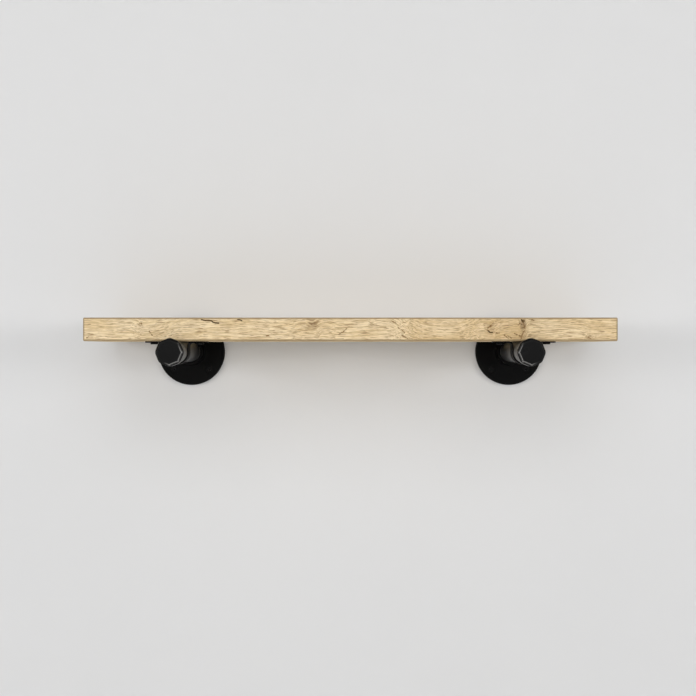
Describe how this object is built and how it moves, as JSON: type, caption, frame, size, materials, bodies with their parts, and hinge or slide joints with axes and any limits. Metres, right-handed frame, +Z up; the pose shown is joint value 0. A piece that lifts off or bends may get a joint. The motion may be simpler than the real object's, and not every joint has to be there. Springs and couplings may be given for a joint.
{
  "type": "wall shelf with pipe brackets",
  "caption": "Straight timber wall shelf on two black pipe brackets, each with a round wall flange, an octagonal end cap and a screwed pipe strap under the board.",
  "frame": {"origin": "on the wall's face, midway between the two flanges, at the height of the pipes' axes", "axes": "+X to the right along the shelf as seen from the room, +Y into the wall, +Z up"},
  "size_m": [0.601, 0.2068, 0.0836],
  "materials": {
    "timber": "sanded pale timber with an open grain, thin clear coat",
    "black_cast_iron": "satin black coat over a faintly rough casting",
    "black_pipe": "satin black coat on steel pipe",
    "black_strap": "satin black coat on pressed steel strip",
    "black_screws": "black oxide steel"
  },
  "bodies": {
    "root": {"board": "timber", "left_flange": "black_cast_iron", "left_pipe": "black_pipe", "left_end_cap": "black_cast_iron", "left_strap": "black_strap", "left_strap_screws": "black_screws", "left_wall_screws": "black_screws", "right_flange": "black_cast_iron", "right_pipe": "black_pipe", "right_end_cap": "black_cast_iron", "right_strap": "black_strap", "right_strap_screws": "black_screws", "right_wall_screws": "black_screws"}
  },
  "joints": []
}
